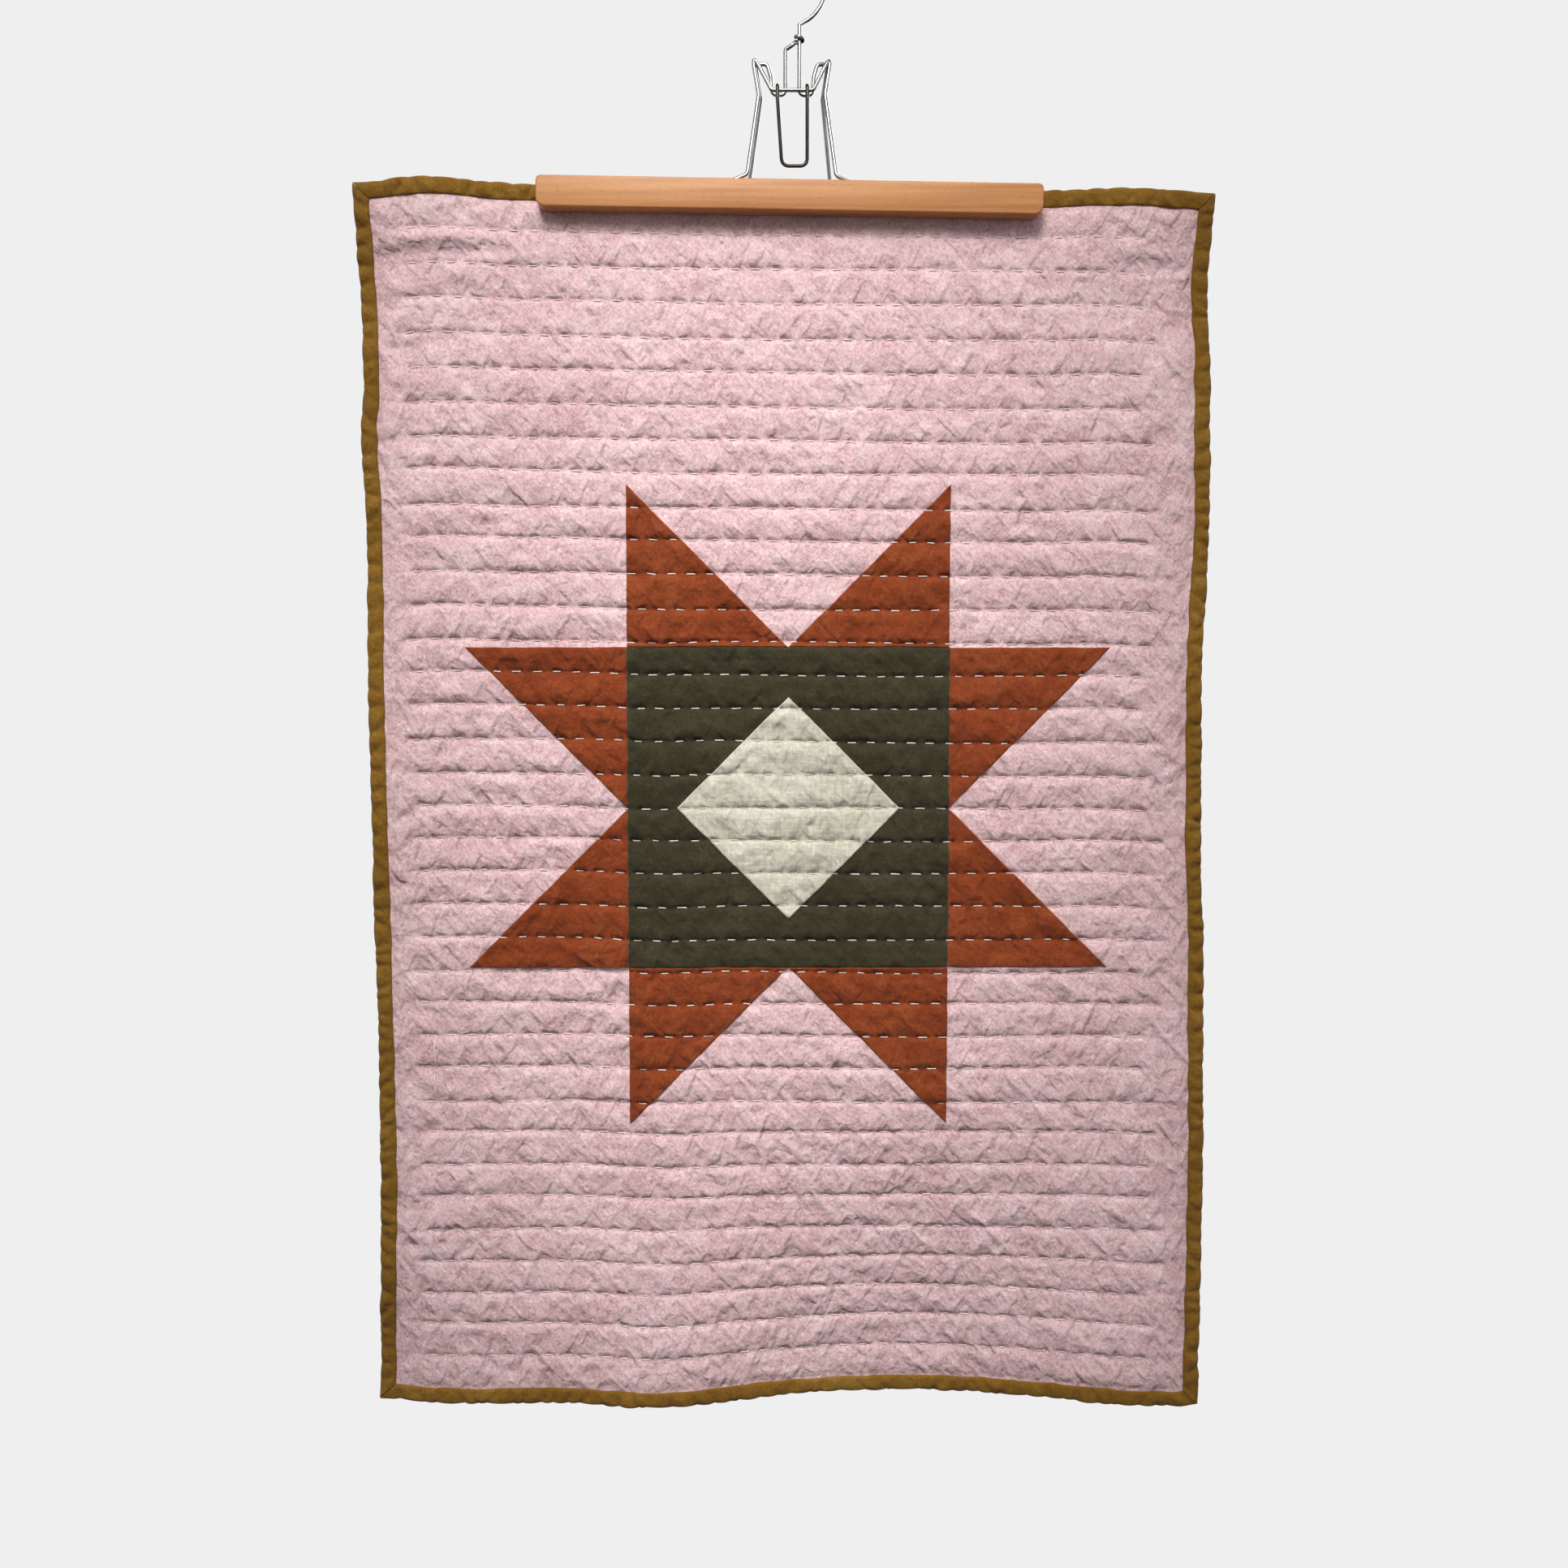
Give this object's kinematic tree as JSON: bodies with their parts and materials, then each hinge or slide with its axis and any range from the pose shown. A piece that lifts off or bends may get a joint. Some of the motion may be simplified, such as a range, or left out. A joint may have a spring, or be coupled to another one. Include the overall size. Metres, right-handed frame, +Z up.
{
  "type": "quilted wall hanging on a clamp hanger",
  "caption": "Small hand-quilted cotton wall quilt with a pieced star, bound in mustard, hung by its top edge in a wooden clamp hanger with a wire hook.",
  "frame": {"origin": "the hook's seat: the spot inside the top of the hook's bend that rests on what holds the hanging up", "axes": "+Z up, +X to the right of someone who faces the quilt, and the quilt's front faces -Y"},
  "size_m": [0.4324, 0.0321, 0.746],
  "materials": {
    "pink_cotton": "washed plain-weave cotton, dusty pink, crinkled",
    "mustard_cotton": "plain-weave cotton, mustard, folded binding",
    "rust_cotton": "washed plain-weave cotton, rust",
    "olive_cotton": "washed plain-weave cotton, dark olive brown",
    "natural_linen": "natural linen with a visible slub weave",
    "beech": "sanded beech with short dark flecks, oiled",
    "steel_wire": "drawn and plated steel wire"
  },
  "bodies": {
    "root": {"quilt": "pink_cotton", "binding_top": "mustard_cotton", "binding_right": "mustard_cotton", "binding_bottom": "mustard_cotton", "binding_left": "mustard_cotton", "star_point_1": "rust_cotton", "star_point_2": "rust_cotton", "star_point_3": "rust_cotton", "star_point_4": "rust_cotton", "star_point_5": "rust_cotton", "star_point_6": "rust_cotton", "star_point_7": "rust_cotton", "star_point_8": "rust_cotton", "star_centre": "olive_cotton", "star_diamond": "natural_linen", "front_bar": "beech", "back_bar": "beech", "hook_frame": "steel_wire", "front_frame": "steel_wire", "lock_loop": "steel_wire"}
  },
  "joints": []
}
